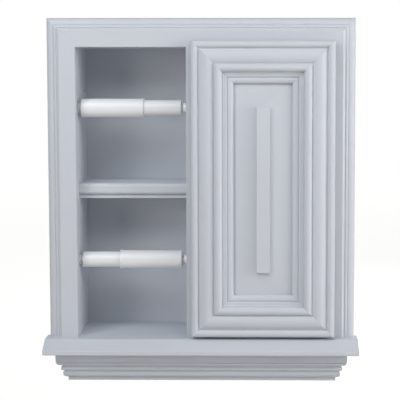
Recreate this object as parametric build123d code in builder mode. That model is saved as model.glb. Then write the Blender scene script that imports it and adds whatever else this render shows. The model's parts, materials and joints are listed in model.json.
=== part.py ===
"""Recessed toilet paper holder: a wooden cabinet that sits between two wall studs.

The left bay is open, with a shelf between two roll niches, each with a sprung roller.
The right bay is a cupboard behind a moulded door. All sizes are in millimetres.

X runs to the right, Y into the wall and Z up. The origin is on the face of the wall, at
the middle of the opening that the cabinet fills.
"""

import os
from math import cos, pi, radians, sin

from build123d import *

os.makedirs("parts", exist_ok=True)

# The box in the wall
opening_width = 337.0
opening_height = 393.0
box_depth = 84.0
wall_board = 12.5
back_board = 5.0
left_bay_width = 148.5
divider_board = 19.0

# The casing round the front: a flat board with a moulded outer edge
casing_width = 39.0
casing_thickness = 14.0
casing_edge = 4.5
casing_ovolo_width = 9.6
casing_ovolo_rise = 6.3
casing_groove = 0.4
casing_bead_width = 3.8
casing_bead_rise = 0.8
casing_flat_start = 17.2

# The sill that the casing stands on
sill_thickness = 18.0
sill_end_overhang = 4.0
sill_top_reach = 11.0
sill_lip_reach = 31.0
sill_lip_height = 5.8
sill_edge_round = 2.5

# The apron moulding under the sill, as drops and projections from the wall
apron_end_inset = 14.8
apron_face_reach = 29.0
apron_face_drop = 13.3
apron_quirk = 1.0
apron_quirk_depth = 1.4
apron_ovolo_setback = 0.4
apron_ovolo_reach = 24.3
apron_ovolo_drop = 4.1
apron_ovolo_bulge = 0.62
apron_recess_drop = 2.0
apron_torus_reach = 23.0
apron_torus_foot = 21.2
apron_torus_drop = 5.7
apron_belly_reach = 20.4
apron_belly_foot = 16.8
apron_belly_drop = 8.6
apron_foot_reach = 14.4
apron_foot_drop = 4.6
apron_crest = 0.35

# The shelf between the niches and its nosing
shelf_height = 208.0
shelf_board = 12.5
nosing_setback = 21.0
nosing_depth = 11.0
nosing_face_height = 15.2
nosing_round = 4.4
nosing_quirk = 1.4
nosing_foot_height = 3.8
nosing_foot_depth = 7.0

# The loose shelf in the cupboard, on four pins
store_shelf_height = 203.0
store_shelf_front = 14.0
store_shelf_play = 0.5
shelf_pin_diameter = 5.0
shelf_pin_depth = 8.0
shelf_pin_reach = 7.0
shelf_pin_inset = 14.0

# Holes for the screws into the studs
stud_hole_diameter = 4.5
stud_hole_depth = 62.0
stud_hole_inset = 60.0

# The rollers
roller_height = 103.0
roller_setback = 24.0
roller_left_gap = 5.0
roller_right_gap = 7.6
barrel_diameter = 25.3
barrel_length = 84.8
barrel_end = 2.5
barrel_chamfer = 1.0
rim_diameter = 26.6
rim_length = 2.4
plunger_diameter = 21.4
plunger_length = 96.0
plunger_wall = 1.6
slide_clearance = 0.1
tip_diameter = 14.0
tip_round = 1.6
neck_diameter = 9.0
neck_length = 1.8
socket_depth = 8.0
socket_clearance = 0.25
tip_end_clearance = 0.3
spring_wire = 1.0
spring_diameter = 15.0
spring_turns = 15
spring_seat_depth = 20.0
spring_end_clearance = 0.1

# The door leaf
door_divider_overlap = 11.8
door_casing_overlap = 10.7
door_top_overlap = 8.2
door_sill_gap = 3.5
door_gap = 3.0
door_back_round = 2.0

# The door moulding: widths inwards from the door's edge, heights from the door's back
band_width = 9.2
band_edge_height = 11.0
band_crest = 4.9
band_height = 15.5
band_foot_height = 13.7
first_valley_width = 1.7
first_valley_height = 12.2
torus_width = 19.7
torus_height = 17.4
second_valley_height = 14.4
crest_width = 10.9
door_thickness = 19.4
crest_foot = 14.2
step_one_width = 2.9
step_one_height = 13.2
step_two_width = 3.7
step_two_height = 12.2
step_bulge = 0.3
step_fall = 0.2
inner_bead_width = 8.4
inner_bead_foot = 10.2
inner_bead_lip = 9.2
inner_bead_bulge = 1.5

# The raised panel and the flat bar on its ridge
rabbet_width = 7.0
panel_edge = 5.4
panel_play = 0.4
panel_sight_play = 0.05
panel_rise = 6.0
bar_width = 17.6
bar_shortfall = 1.8
bar_thickness = 4.6
bar_edge_break = 0.6

# The two concealed hinges
hinge_from_end = 62.0
hinge_edge_distance = 8.0
hinge_pin_depth = 7.5
hinge_pin_diameter = 2.5
hinge_pin_clearance = 0.05
hinge_barrel_diameter = 4.6
hinge_barrel_length = 10.0
cup_diameter = 35.0
cup_depth = 11.0
cup_wall = 0.8
cup_edge_distance = 3.0
cup_bore_clearance = 0.05
cup_flange = 1.0
cup_rim = 1.2
cup_flange_width = 15.0
cup_flange_length = 62.0
cup_flange_corner = 5.0
cup_screw_spacing = 48.0
cup_screw_offset = 5.0
cup_lug = 2.0
hinge_side_clearance = 0.3
arm_thickness = 2.0
arm_crank = 14.0
arm_width = 12.0
arm_channel = 5.0
arm_channel_front = 6.0
arm_back = 46.0
plate_front = 12.0
plate_width = 22.0
plate_length = 48.0
plate_thickness = 1.8
plate_corner = 3.5
plate_spine_width = 9.0
plate_screw_spacing = 32.0
arm_screw_inset = 8.0

# The magnetic catch on the divider and its strike on the door
catch_from_top = 90.0
catch_width = 13.0
catch_depth = 16.0
catch_length = 46.0
catch_corner = 2.0
catch_screw_inset = 5.0
catch_front = 1.0
magnet_width = 6.0
magnet_length = 26.0
magnet_depth = 11.0
magnet_stand = 0.5
strike_gap = 0.3
strike_length = 34.0
strike_width = 12.0
strike_corner = 3.0
strike_screw_depth = 8.0

# Screws and the door's buffers
screw_diameter = 3.5
screw_head_diameter = 6.6
screw_head_height = 1.8
screw_head_taper = 20.0
screw_clearance = 0.2
screw_grip = 10.0
buffer_diameter = 8.0
buffer_inset = 26.0
buffer_play = 0.1

# Places that several pieces share
left_x = -opening_width / 2
right_x = opening_width / 2
divider_left = left_x + left_bay_width
divider_right = divider_left + divider_board
floor_z = -opening_height / 2
ceiling_z = opening_height / 2
casing_face = -casing_thickness
casing_left_x = left_x - casing_width
casing_right_x = right_x + casing_width
casing_top_z = ceiling_z + casing_width
roll_shelf_top = floor_z + shelf_height
store_shelf_top = floor_z + store_shelf_height
sill_bottom = floor_z - sill_thickness
door_back = casing_face - door_gap
door_left = divider_right - door_divider_overlap
door_right = right_x + door_casing_overlap
door_bottom = floor_z + door_sill_gap
door_top = ceiling_z + door_top_overlap
door_width = door_right - door_left
door_height = door_top - door_bottom
moulding_width = (
    band_width + first_valley_width + torus_width + crest_width
    + step_one_width + step_two_width + inner_bead_width
)
roller_y = casing_face + roller_setback
roller_levels = {"upper": roll_shelf_top + roller_height, "lower": floor_z + roller_height}
hinge_levels = {"upper": door_top - hinge_from_end, "lower": door_bottom + hinge_from_end}
pivot_x = door_right - hinge_edge_distance
pivot_y = door_back - hinge_pin_depth
cup_x = door_right - cup_edge_distance - cup_diameter / 2
catch_z = ceiling_z - catch_from_top
catch_x = divider_right + catch_width / 2


def span(low, high):
    """Middle and length of the stretch between two limits."""
    return (low + high) / 2, high - low


def board(x_limits, y_limits, z_limits, mode=Mode.ADD):
    """Adds a square-edged block, given by its limits, to the piece being built."""
    (x, width), (y, depth), (z, height) = span(*x_limits), span(*y_limits), span(*z_limits)
    with Locations((x, y, z)):
        Box(width, depth, height, mode=mode)


def drill(start, direction, radius, depth):
    """Cuts a round blind hole into the piece being built, from start along direction."""
    hole_plane = Plane(origin=start, z_dir=direction)
    with BuildSketch(hole_plane) as mouth:
        Circle(radius)
    extrude(mouth.sketch, amount=depth, mode=Mode.SUBTRACT)


def keep_part(piece, name):
    """Labels a finished piece and writes it to its own file."""
    piece.part.label = name
    export_step(piece.part, f"parts/{name}.step")
    print(f"{name}: {len(piece.part.solids())} solid(s), {piece.part.volume / 1000:.2f} cm3")


def mitre(stick_plane, corner, inward):
    """Cuts the piece being built at 45 degrees, through a corner of its moulded frame."""
    split(bisect_by=Plane(origin=corner, z_dir=inward - stick_plane.x_dir), keep=Keep.TOP)


# The box: four boards, a back and a divider
socket_radius = tip_diameter / 2 + socket_clearance


def cut_sockets(face_x, direction):
    """Cuts the blind holes for the roller tips into a side of the left bay."""
    for level in roller_levels.values():
        drill((face_x, roller_y, level), (direction, 0, 0), socket_radius, socket_depth)


def cut_stud_holes(face_x, direction):
    """Cuts the two holes for the screws into a stud through a side panel."""
    for level in (floor_z + stud_hole_inset, ceiling_z - stud_hole_inset):
        drill((face_x, stud_hole_depth, level), (direction, 0, 0), stud_hole_diameter / 2, wall_board)


def cut_shelf_pin_holes(face_x, direction):
    """Cuts the holes for the cupboard shelf's pins into a side of the right bay."""
    for y in shelf_pin_rows:
        drill((face_x, y, shelf_pin_z), (direction, 0, 0), shelf_pin_diameter / 2, shelf_pin_depth)


shelf_pin_z = store_shelf_top - shelf_board - shelf_pin_diameter / 2
shelf_pin_rows = (store_shelf_front + shelf_pin_inset, box_depth - shelf_pin_inset)

with BuildPart() as side_panel_left:
    board((left_x - wall_board, left_x), (0, box_depth), (floor_z - wall_board, ceiling_z + wall_board))
    cut_sockets(left_x, -1)
    cut_stud_holes(left_x, -1)
keep_part(side_panel_left, "side_panel_left")

plate_screw_y = plate_front + plate_width / 2

with BuildPart() as side_panel_right:
    board((right_x, right_x + wall_board), (0, box_depth), (floor_z - wall_board, ceiling_z + wall_board))
    cut_stud_holes(right_x, 1)
    cut_shelf_pin_holes(right_x, 1)
    for level in hinge_levels.values():
        for side in (-1, 1):
            drill(
                (right_x, plate_screw_y, level + side * plate_screw_spacing / 2),
                (1, 0, 0), screw_diameter / 2, screw_grip - plate_thickness,
            )
keep_part(side_panel_right, "side_panel_right")

with BuildPart() as top_panel:
    board((left_x, right_x), (0, box_depth), (ceiling_z, ceiling_z + wall_board))
keep_part(top_panel, "top_panel")

with BuildPart() as bottom_panel:
    board((left_x, right_x), (0, box_depth), (floor_z - wall_board, floor_z))
keep_part(bottom_panel, "bottom_panel")

with BuildPart() as back_panel:
    board(
        (left_x - wall_board, right_x + wall_board),
        (box_depth, box_depth + back_board),
        (floor_z - wall_board, ceiling_z + wall_board),
    )
keep_part(back_panel, "back_panel")

catch_screw_spacing = catch_length - 2 * catch_screw_inset
catch_y = casing_face - catch_front + catch_depth / 2
catch_screw_levels = [catch_z + side * catch_screw_spacing / 2 for side in (-1, 1)]

with BuildPart() as divider:
    board((divider_left, divider_right), (casing_face, box_depth), (floor_z, ceiling_z))
    cut_sockets(divider_left, 1)
    cut_shelf_pin_holes(divider_right, -1)
    for level in catch_screw_levels:
        drill((divider_right, catch_y, level), (-1, 0, 0), screw_diameter / 2, screw_grip)
keep_part(divider, "divider")

# The shelf between the niches, with a rounded nosing along its front
nosing_front = casing_face + nosing_setback

with BuildPart() as roll_shelf:
    board(
        (left_x, divider_left),
        (nosing_front + nosing_depth, box_depth),
        (roll_shelf_top - shelf_board, roll_shelf_top),
    )
keep_part(roll_shelf, "roll_shelf")

with BuildPart() as shelf_nosing:
    nosing_back = nosing_front + nosing_depth
    face_bottom = roll_shelf_top - nosing_face_height
    foot_top = face_bottom - nosing_quirk
    foot_bottom = foot_top - nosing_foot_height
    foot_front = nosing_back - nosing_foot_depth
    with BuildSketch(Plane.YZ.offset(left_x)):
        with BuildLine():
            Polyline(
                (nosing_back, roll_shelf_top),
                (nosing_front, roll_shelf_top),
                (nosing_front, face_bottom),
                (foot_front + nosing_quirk, face_bottom),
                (foot_front + nosing_quirk, foot_top),
                (foot_front, foot_top),
                (foot_front, foot_bottom),
                (nosing_back, foot_bottom),
                (nosing_back, roll_shelf_top),
            )
        make_face()
    extrude(amount=left_bay_width)
    fillet(shelf_nosing.edges().filter_by(Axis.X).group_by(Axis.Y)[0], nosing_round)
keep_part(shelf_nosing, "shelf_nosing")

# The cupboard's loose shelf and its four pins
with BuildPart() as storage_shelf:
    board(
        (divider_right + store_shelf_play, right_x - store_shelf_play),
        (store_shelf_front, box_depth - store_shelf_play),
        (store_shelf_top - shelf_board, store_shelf_top),
    )
keep_part(storage_shelf, "storage_shelf")

with BuildPart() as shelf_pins:
    for face_x, direction in ((divider_right, -1), (right_x, 1)):
        for y in shelf_pin_rows:
            start = (face_x - direction * shelf_pin_reach, y, shelf_pin_z)
            with BuildSketch(Plane(origin=start, z_dir=(direction, 0, 0))):
                Circle(shelf_pin_diameter / 2)
    extrude(amount=shelf_pin_reach + shelf_pin_depth)
keep_part(shelf_pins, "shelf_pins")


# The casing: two stiles on the sill and a rail, mitred at the top corners
def casing_outline():
    """Draws the casing's section: X inwards from the outer edge, Y out from the wall."""
    ovolo_end = (casing_ovolo_width, casing_edge + casing_ovolo_rise)
    ovolo_middle = (
        ovolo_end[0] * (1 - cos(radians(45))),
        casing_edge + casing_ovolo_rise * sin(radians(45)),
    )
    groove_end = casing_ovolo_width + casing_groove
    bead_start = (groove_end, ovolo_end[1])
    bead_end = (groove_end + casing_bead_width, ovolo_end[1] + casing_bead_rise)
    Polyline((casing_width, casing_thickness), (casing_width, 0), (0, 0), (0, casing_edge))
    ThreePointArc((0, casing_edge), ovolo_middle, ovolo_end)
    Line(ovolo_end, (ovolo_end[0], ovolo_end[1] - casing_groove))
    Line((ovolo_end[0], ovolo_end[1] - casing_groove), (groove_end, ovolo_end[1] - casing_groove))
    Line((groove_end, ovolo_end[1] - casing_groove), bead_start)
    SagittaArc(bead_start, bead_end, casing_bead_rise)
    Polyline(
        bead_end,
        (bead_end[0], bead_end[1] - casing_groove),
        (casing_flat_start, casing_thickness),
        (casing_width, casing_thickness),
    )


stile_length = casing_top_z - floor_z

with BuildPart() as casing_left:
    stick = Plane(origin=(casing_left_x, 0, casing_top_z), x_dir=(1, 0, 0), z_dir=(0, 0, -1))
    with BuildSketch(stick):
        with BuildLine():
            casing_outline()
        make_face()
    extrude(amount=stile_length)
    mitre(stick, (casing_left_x, 0, casing_top_z), Vector(0, 0, -1))
keep_part(casing_left, "casing_left")

with BuildPart() as casing_right:
    stick = Plane(origin=(casing_right_x, 0, floor_z), x_dir=(-1, 0, 0), z_dir=(0, 0, 1))
    with BuildSketch(stick):
        with BuildLine():
            casing_outline()
        make_face()
    extrude(amount=stile_length)
    mitre(stick, (casing_right_x, 0, casing_top_z), Vector(0, 0, -1))
keep_part(casing_right, "casing_right")

with BuildPart() as casing_top:
    stick = Plane(origin=(casing_right_x, 0, casing_top_z), x_dir=(0, 0, -1), z_dir=(-1, 0, 0))
    with BuildSketch(stick):
        with BuildLine():
            casing_outline()
        make_face()
    extrude(amount=casing_right_x - casing_left_x)
    mitre(stick, (casing_right_x, 0, casing_top_z), Vector(-1, 0, 0))
    mitre(stick, (casing_left_x, 0, casing_top_z), Vector(1, 0, 0))
keep_part(casing_top, "casing_top")

# The sill: a flat top, a sloping front and an upright lip
sill_half = casing_right_x + sill_end_overhang
sill_top_edge = casing_face - sill_top_reach
sill_lip_front = casing_face - sill_lip_reach

with BuildPart() as sill:
    with BuildSketch(Plane.YZ.offset(-sill_half)):
        with BuildLine():
            Polyline(
                (0, floor_z),
                (sill_top_edge, floor_z),
                (sill_lip_front, sill_bottom + sill_lip_height),
                (sill_lip_front, sill_bottom),
                (0, sill_bottom),
                (0, floor_z),
            )
        make_face()
    extrude(amount=2 * sill_half)
    front_edges = sill.edges().filter_by(Axis.X).filter_by(lambda edge: edge.center().Y < casing_face)
    fillet(front_edges.group_by(Axis.Z)[-1], sill_edge_round)
    fillet(sill.edges().filter_by(Axis.X).filter_by(
        lambda edge: abs(edge.center().Y - sill_lip_front) < 0.01
    ), sill_edge_round / 2)
keep_part(sill, "sill")

# The apron: one moulded section along the front and a mitred return at each end
apron_half = sill_half - apron_end_inset
apron_core = apron_half - apron_face_reach


def apron_outline():
    """Draws the apron's section: X out from the wall, Y down from the sill."""
    quirk_floor = apron_face_reach - apron_quirk_depth
    ovolo_top = apron_face_drop + apron_quirk
    ovolo_bottom = ovolo_top + apron_ovolo_drop
    ovolo_start = apron_face_reach - apron_ovolo_setback
    recess = apron_torus_reach - apron_quirk_depth
    torus_top = ovolo_bottom + apron_recess_drop
    torus_bottom = torus_top + apron_torus_drop
    belly_start = apron_belly_reach - apron_quirk_depth
    belly_top = torus_bottom + apron_quirk
    belly_bottom = belly_top + apron_belly_drop
    foot_quirk = apron_foot_reach - apron_quirk_depth
    foot_top = belly_bottom + apron_quirk
    foot_bottom = foot_top + apron_foot_drop
    Polyline(
        (0, foot_bottom),
        (0, 0),
        (apron_face_reach, 0),
        (apron_face_reach, apron_face_drop),
        (quirk_floor, apron_face_drop),
        (quirk_floor, ovolo_top),
        (ovolo_start, ovolo_top),
    )
    ThreePointArc(
        (ovolo_start, ovolo_top),
        (
            apron_ovolo_reach + (ovolo_start - apron_ovolo_reach) * apron_ovolo_bulge,
            ovolo_top + apron_ovolo_drop * apron_ovolo_bulge,
        ),
        (apron_ovolo_reach, ovolo_bottom),
    )
    Polyline((apron_ovolo_reach, ovolo_bottom), (recess, ovolo_bottom), (recess, torus_top))
    ThreePointArc(
        (recess, torus_top),
        (apron_torus_reach, torus_top + apron_torus_drop * apron_crest),
        (apron_torus_foot, torus_bottom),
    )
    Polyline((apron_torus_foot, torus_bottom), (belly_start, torus_bottom), (belly_start, belly_top))
    ThreePointArc(
        (belly_start, belly_top),
        (apron_belly_reach, belly_top + apron_belly_drop * apron_crest),
        (apron_belly_foot, belly_bottom),
    )
    Polyline(
        (apron_belly_foot, belly_bottom),
        (foot_quirk, belly_bottom),
        (foot_quirk, foot_top),
        (apron_foot_reach, foot_top),
        (apron_foot_reach, foot_bottom),
        (0, foot_bottom),
    )


with BuildPart() as apron_front:
    stick = Plane(origin=(-apron_half, 0, sill_bottom), x_dir=(0, -1, 0), z_dir=(1, 0, 0))
    with BuildSketch(stick):
        with BuildLine():
            apron_outline()
        make_face()
    extrude(amount=2 * apron_half)
    for side in (-1, 1):
        split(
            bisect_by=Plane(origin=(side * apron_core, 0, sill_bottom), z_dir=(-side, -1, 0)),
            keep=Keep.TOP,
        )
keep_part(apron_front, "apron_front")

for name, side in (("apron_return_left", -1), ("apron_return_right", 1)):
    with BuildPart() as apron_return:
        # The return's section points sideways and its length runs along the wall's normal
        start = (side * apron_core, -apron_face_reach if side > 0 else 0, sill_bottom)
        stick = Plane(origin=start, x_dir=(side, 0, 0), z_dir=(0, side, 0))
        with BuildSketch(stick):
            with BuildLine():
                apron_outline()
            make_face()
        extrude(amount=apron_face_reach)
        split(
            bisect_by=Plane(origin=(side * apron_core, 0, sill_bottom), z_dir=(side, 1, 0)),
            keep=Keep.TOP,
        )
    keep_part(apron_return, name)


# The rollers: a barrel and a plunger that slides in it against a spring
def axis_plane(face_x, level, direction):
    """Half-section plane of a roller piece: X away from the panel, Y out from the axis."""
    return Plane(
        origin=(face_x, roller_y, level), x_dir=(direction, 0, 0), z_dir=(0, -direction, 0)
    )


def tip_outline(gap):
    """Draws the tip in its socket and the neck, as far as the barrel's end at gap."""
    reach = tip_end_clearance - socket_depth
    tip_end = gap - neck_length
    radius = tip_diameter / 2
    Line((reach, 0), (reach, radius - tip_round))
    RadiusArc((reach, radius - tip_round), (reach + tip_round, radius), tip_round)
    Line((reach + tip_round, radius), (tip_end - tip_round, radius))
    RadiusArc((tip_end - tip_round, radius), (tip_end, radius - tip_round), tip_round)
    Polyline((tip_end, radius - tip_round), (tip_end, neck_diameter / 2), (gap, neck_diameter / 2))


def roller_pieces(name, level, barrel_on_left):
    """Builds one roller: barrel, plunger and spring, with the barrel at the side asked for."""
    if barrel_on_left:
        barrel_x, plunger_x, direction = left_x, divider_left, 1
        barrel_gap, plunger_gap = roller_left_gap, roller_right_gap
    else:
        barrel_x, plunger_x, direction = divider_left, left_x, -1
        barrel_gap, plunger_gap = roller_right_gap, roller_left_gap
    axis = Axis((barrel_x, roller_y, level), (1, 0, 0))
    bore_radius = plunger_diameter / 2 + slide_clearance
    barrel_mouth = barrel_gap + barrel_length
    cavity = barrel_gap + barrel_end

    with BuildPart() as barrel:
        with BuildSketch(axis_plane(barrel_x, level, direction)):
            with BuildLine():
                tip_outline(barrel_gap)
                Polyline(
                    (barrel_gap, neck_diameter / 2),
                    (barrel_gap, barrel_diameter / 2 - barrel_chamfer),
                    (barrel_gap + barrel_chamfer, barrel_diameter / 2),
                    (barrel_mouth - rim_length, barrel_diameter / 2),
                    (barrel_mouth - rim_length, rim_diameter / 2),
                    (barrel_mouth, rim_diameter / 2),
                    (barrel_mouth, bore_radius),
                    (cavity, bore_radius),
                    (cavity, 0),
                    (tip_end_clearance - socket_depth, 0),
                )
            make_face()
        revolve(axis=axis)
    keep_part(barrel, f"roller_{name}_barrel")

    open_end = plunger_gap + plunger_length
    seat = open_end - spring_seat_depth
    wall_radius = plunger_diameter / 2 - plunger_wall
    with BuildPart() as plunger:
        with BuildSketch(axis_plane(plunger_x, level, -direction)):
            with BuildLine():
                tip_outline(plunger_gap)
                Polyline(
                    (plunger_gap, neck_diameter / 2),
                    (plunger_gap, plunger_diameter / 2 - barrel_chamfer),
                    (plunger_gap + barrel_chamfer, plunger_diameter / 2),
                    (open_end, plunger_diameter / 2),
                    (open_end, wall_radius),
                    (seat, wall_radius),
                    (seat, 0),
                    (tip_end_clearance - socket_depth, 0),
                )
            make_face()
        revolve(axis=axis)
        # The plunger is hollow between its end and the spring's seat
        hollow_start = plunger_x - direction * (plunger_gap + barrel_end)
        hollow_end = plunger_x - direction * (seat - barrel_end)
        hollow_middle, hollow_length = (hollow_start + hollow_end) / 2, abs(hollow_end - hollow_start)
        with Locations(Location((hollow_middle, roller_y, level), (0, 90, 0))):
            Cylinder(wall_radius, hollow_length, mode=Mode.SUBTRACT)
    keep_part(plunger, f"roller_{name}_plunger")

    spring_inset = spring_wire / 2 + spring_end_clearance
    spring_start = barrel_x + direction * (cavity + spring_inset)
    spring_end = plunger_x - direction * (seat + spring_inset)
    length = abs(spring_end - spring_start)
    spring_low = min(spring_start, spring_end)
    coil_radius = (spring_diameter - spring_wire) / 2

    def coil_point(quarter):
        """Point of the coil after so many quarter turns."""
        angle = quarter * pi / 2
        along = spring_low + length * quarter / (4 * spring_turns)
        return (along, roller_y + coil_radius * cos(angle), level + coil_radius * sin(angle))

    with BuildPart() as spring:
        with BuildLine() as coil:
            for quarter in range(4 * spring_turns):
                ThreePointArc(coil_point(quarter), coil_point(quarter + 0.5), coil_point(quarter + 1))
        with BuildSketch(Plane(origin=coil.line @ 0, z_dir=coil.line % 0)):
            Circle(spring_wire / 2)
        sweep()
    keep_part(spring, f"roller_{name}_spring")


roller_pieces("upper", roller_levels["upper"], True)
roller_pieces("lower", roller_levels["lower"], False)


# The door: four mitred sticks of one moulding round a raised panel
def step_and_bead(start, bead_top, end, bulge):
    """Draws a step straight down from the line's last point and the low bead after it."""
    Line(start, (start[0], bead_top))
    SagittaArc((start[0], bead_top), end, bulge)


def door_outline():
    """Draws the door moulding: X inwards from the door's edge, Y out from the door's back."""
    first_valley = band_width + first_valley_width
    torus_end = first_valley + torus_width
    crest_end = torus_end + crest_width
    step_one_end = crest_end + step_one_width
    step_two_end = step_one_end + step_two_width
    step_one_foot = (step_one_end, step_one_height - step_fall)
    step_two_foot = (step_two_end, step_two_height - step_fall)
    back_middle = door_back_round * (1 - cos(radians(45)))
    ThreePointArc((door_back_round, 0), (back_middle, back_middle), (0, door_back_round))
    Line((0, door_back_round), (0, band_edge_height))
    ThreePointArc((0, band_edge_height), (band_crest, band_height), (band_width, band_foot_height))
    Polyline(
        (band_width, band_foot_height),
        (band_width, first_valley_height),
        (first_valley, first_valley_height),
    )
    ThreePointArc(
        (first_valley, first_valley_height),
        ((first_valley + torus_end) / 2, torus_height),
        (torus_end, second_valley_height),
    )
    ThreePointArc(
        (torus_end, second_valley_height),
        ((torus_end + crest_end) / 2, door_thickness),
        (crest_end, crest_foot),
    )
    step_and_bead((crest_end, crest_foot), step_one_height, step_one_foot, step_bulge)
    step_and_bead(step_one_foot, step_two_height, step_two_foot, step_bulge)
    step_and_bead(step_two_foot, inner_bead_foot, (moulding_width, inner_bead_lip), inner_bead_bulge)
    Polyline(
        (moulding_width, inner_bead_lip),
        (moulding_width, panel_edge),
        (moulding_width - rabbet_width, panel_edge),
        (moulding_width - rabbet_width, 0),
        (door_back_round, 0),
    )


def corner(x, z):
    """Point on the door's back plane."""
    return (x, door_back, z)


left_to_right = Vector(1, 0, 0)
upwards = Vector(0, 0, 1)

with BuildPart() as door_stile_left:
    stick = Plane(origin=corner(door_left, door_top), x_dir=(1, 0, 0), z_dir=(0, 0, -1))
    with BuildSketch(stick):
        with BuildLine():
            door_outline()
        make_face()
    extrude(amount=door_height)
    mitre(stick, corner(door_left, door_top), -upwards)
    mitre(stick, corner(door_left, door_bottom), upwards)
    drill(corner(catch_x, catch_z), (0, -1, 0), screw_diameter / 2, strike_screw_depth)
keep_part(door_stile_left, "door_stile_left")

with BuildPart() as door_stile_right:
    stick = Plane(origin=corner(door_right, door_bottom), x_dir=(-1, 0, 0), z_dir=(0, 0, 1))
    with BuildSketch(stick):
        with BuildLine():
            door_outline()
        make_face()
    extrude(amount=door_height)
    mitre(stick, corner(door_right, door_bottom), upwards)
    mitre(stick, corner(door_right, door_top), -upwards)
    for level in hinge_levels.values():
        drill(corner(cup_x, level), (0, -1, 0), cup_diameter / 2 + cup_bore_clearance, cup_depth)
        for side in (-1, 1):
            screw_seat = corner(cup_x - cup_screw_offset, level + side * cup_screw_spacing / 2)
            drill(screw_seat, (0, -1, 0), screw_diameter / 2, screw_grip - cup_flange)
keep_part(door_stile_right, "door_stile_right")

with BuildPart() as door_rail_top:
    stick = Plane(origin=corner(door_right, door_top), x_dir=(0, 0, -1), z_dir=(-1, 0, 0))
    with BuildSketch(stick):
        with BuildLine():
            door_outline()
        make_face()
    extrude(amount=door_width)
    mitre(stick, corner(door_right, door_top), -left_to_right)
    mitre(stick, corner(door_left, door_top), left_to_right)
keep_part(door_rail_top, "door_rail_top")

with BuildPart() as door_rail_bottom:
    stick = Plane(origin=corner(door_left, door_bottom), x_dir=(0, 0, 1), z_dir=(1, 0, 0))
    with BuildSketch(stick):
        with BuildLine():
            door_outline()
        make_face()
    extrude(amount=door_width)
    mitre(stick, corner(door_left, door_bottom), left_to_right)
    mitre(stick, corner(door_right, door_bottom), -left_to_right)
keep_part(door_rail_bottom, "door_rail_bottom")

# The raised panel slopes up on all four sides to a ridge that carries the flat bar
sight_width = door_width - 2 * moulding_width
sight_height = door_height - 2 * moulding_width
bar_length = sight_height - sight_width + bar_width - bar_shortfall
panel_lap = 2 * (rabbet_width - panel_play)
door_middle = ((door_left + door_right) / 2, (door_bottom + door_top) / 2)


def door_level(height):
    """Plane at a height above the door's back, with X to the right and Y up, facing out."""
    origin = (door_middle[0], door_back - height, door_middle[1])
    return Plane(origin=origin, x_dir=(1, 0, 0), z_dir=(0, -1, 0))


with BuildPart() as door_panel:
    with BuildSketch(door_level(0)):
        Rectangle(sight_width + panel_lap, sight_height + panel_lap)
    extrude(amount=panel_edge)
    with BuildSketch(door_level(panel_edge)):
        Rectangle(sight_width - 2 * panel_sight_play, sight_height - 2 * panel_sight_play)
    with BuildSketch(door_level(panel_edge + panel_rise)):
        Rectangle(bar_width, bar_length)
    loft(ruled=True)
keep_part(door_panel, "door_panel")

with BuildPart() as door_bar:
    with BuildSketch(door_level(panel_edge + panel_rise)):
        Rectangle(bar_width, bar_length)
    extrude(amount=bar_thickness)
    fillet(door_bar.faces().sort_by(Axis.Y)[0].edges(), bar_edge_break)
keep_part(door_bar, "door_bar")


# The hinges: a cup let into the door, and a cranked arm that reaches out to its pin
def hinge_cup(name, level):
    """Pressed steel cup with its flange and the two lugs that hold the pin."""
    inner_radius = cup_diameter / 2 - cup_wall
    mouth = Plane(origin=(cup_x, door_back, level), x_dir=(1, 0, 0), z_dir=(0, -1, 0))
    with BuildPart() as cup:
        with BuildSketch(mouth):
            Circle(cup_diameter / 2)
        extrude(amount=cup_depth)
        with BuildSketch(mouth.offset(-cup_flange)):
            Circle(cup_diameter / 2 + cup_rim)
            with Locations((-cup_screw_offset, 0)):
                RectangleRounded(cup_flange_width, cup_flange_length, cup_flange_corner)
        extrude(amount=cup_flange)
        with BuildSketch(mouth.offset(-cup_flange)):
            Circle(inner_radius)
        extrude(amount=cup_flange + cup_depth - cup_wall, mode=Mode.SUBTRACT)
        for side in (-1, 1):
            lug_start = level + side * (hinge_barrel_length / 2 + hinge_side_clearance)
            board(
                (pivot_x - hinge_barrel_diameter / 2, pivot_x + hinge_barrel_diameter / 2),
                (door_back - cup_depth + cup_wall / 2, pivot_y + hinge_barrel_diameter / 2),
                sorted((lug_start, lug_start + side * cup_lug)),
            )
            seat = (cup_x - cup_screw_offset, door_back + cup_flange, level + side * cup_screw_spacing / 2)
            drill(seat, (0, -1, 0), screw_diameter / 2 + screw_clearance, cup_flange)
        pin_low = level - hinge_barrel_length / 2 - hinge_side_clearance - cup_lug
        drill((pivot_x, pivot_y, pin_low), (0, 0, 1), hinge_pin_diameter / 2, 2 * (level - pin_low))
    keep_part(cup, f"hinge_cup_{name}")


arm_x = pivot_x - arm_crank
arm_outer = arm_x - arm_thickness / 2
arm_inner = arm_x + arm_thickness / 2
arm_screw_y = arm_back - arm_screw_inset


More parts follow.
